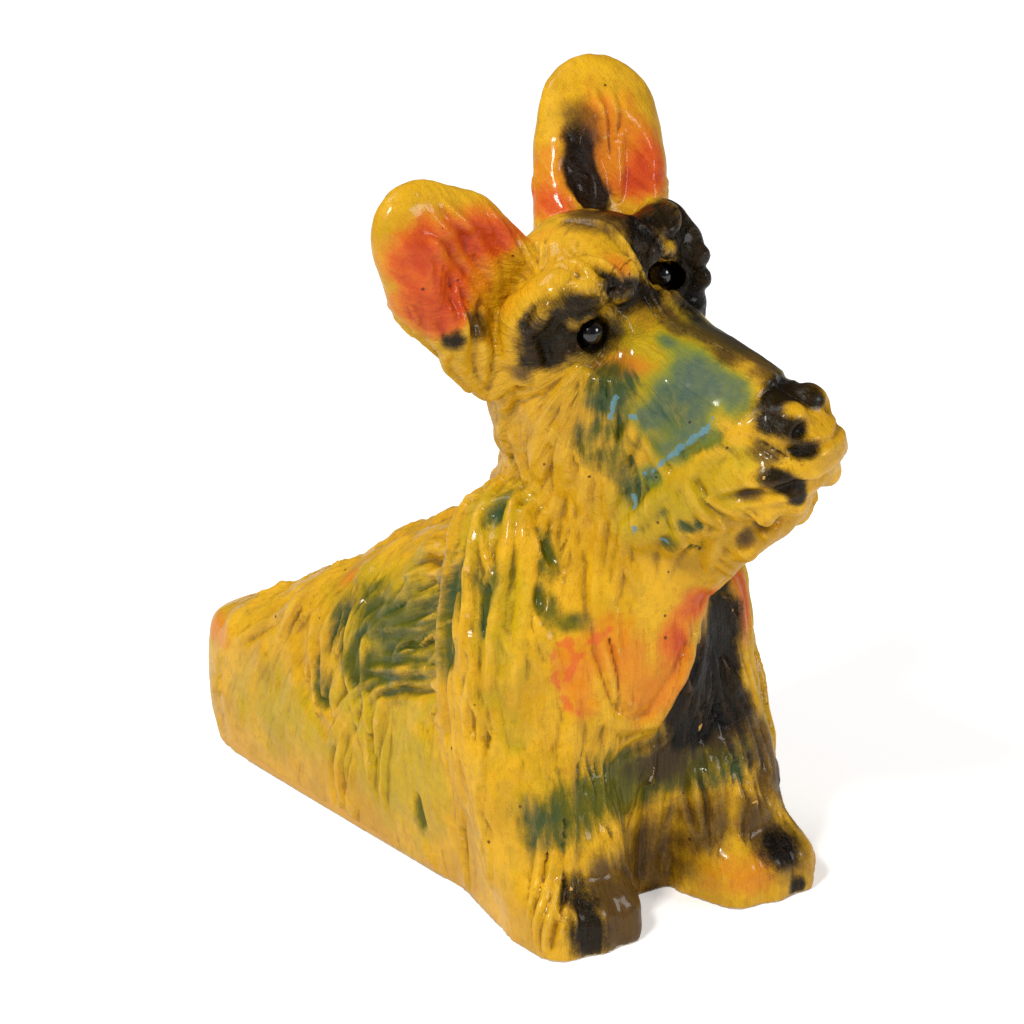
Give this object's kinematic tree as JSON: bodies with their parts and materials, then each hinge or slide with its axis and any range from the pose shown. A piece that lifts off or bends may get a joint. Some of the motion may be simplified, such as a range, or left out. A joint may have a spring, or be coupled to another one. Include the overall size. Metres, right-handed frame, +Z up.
{
  "type": "chalkware figure",
  "caption": "Hollow painted plaster figure of a terrier lying with its breast up, paws forward and head turned, on a flat base.",
  "frame": {"origin": "on the standing face, under the middle of the trunk and on the trunk's mid-plane", "axes": "-Y the way the breast and paws face, +X the dog's left, +Z up out of the standing face"},
  "size_m": [0.0692, 0.1286, 0.1296],
  "materials": {
    "painted_plaster": "gloss",
    "raw_plaster": "matte",
    "slip_plaster": "matte",
    "eye_black": "gloss"
  },
  "bodies": {
    "root": {"right_half_shell": "painted_plaster", "left_half_shell": "painted_plaster", "seam_slip": "slip_plaster", "base_plug": "raw_plaster", "right_eye": "eye_black", "left_eye": "eye_black"}
  },
  "joints": []
}
